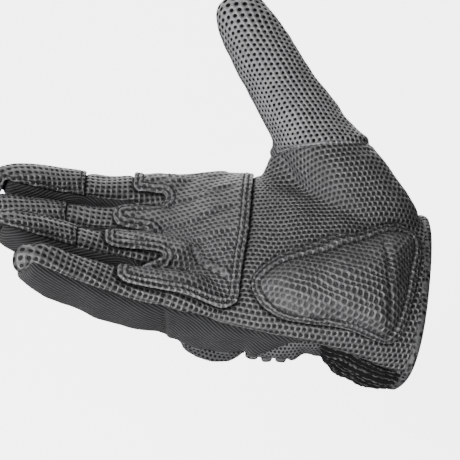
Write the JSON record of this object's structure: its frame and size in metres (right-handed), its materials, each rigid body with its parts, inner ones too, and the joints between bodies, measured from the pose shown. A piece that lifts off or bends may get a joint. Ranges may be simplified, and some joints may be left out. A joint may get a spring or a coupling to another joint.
{
  "type": "tactical glove",
  "caption": "Black tactical work glove for the right side, worn form, with perforated leather palm, padded heel, knuckle guard and gathered wrist.",
  "frame": {"origin": "middle of the wrist opening", "axes": "+X out of the wrist and away from the fingers, +Y towards the thumb, +Z out of the palm"},
  "size_m": [0.2091, 0.1665, 0.1156],
  "materials": {
    "leather": "satin",
    "stretch_cloth": "matte",
    "mesh_cloth": "matte",
    "gathered_elastic": "matte"
  },
  "bodies": {
    "root": {"palm_leather": "leather", "palm_overlay": "leather", "heel_pad": "leather", "thumb_front": "leather", "thumb_back": "stretch_cloth", "thumb_gusset": "stretch_cloth", "index_tip_patch": "leather", "middle_tip_patch": "leather", "ring_tip_patch": "leather", "index_side_wall": "stretch_cloth", "middle_side_wall": "stretch_cloth", "ring_side_wall": "stretch_cloth", "pinky_side_wall": "stretch_cloth", "side_panel": "stretch_cloth", "back_panel": "mesh_cloth", "knuckle_guard": "mesh_cloth", "flex_rib_1": "mesh_cloth", "flex_rib_2": "mesh_cloth", "flex_rib_3": "mesh_cloth", "flex_rib_4": "mesh_cloth", "wrist_gather": "gathered_elastic", "cuff_binding": "leather"}
  },
  "joints": []
}
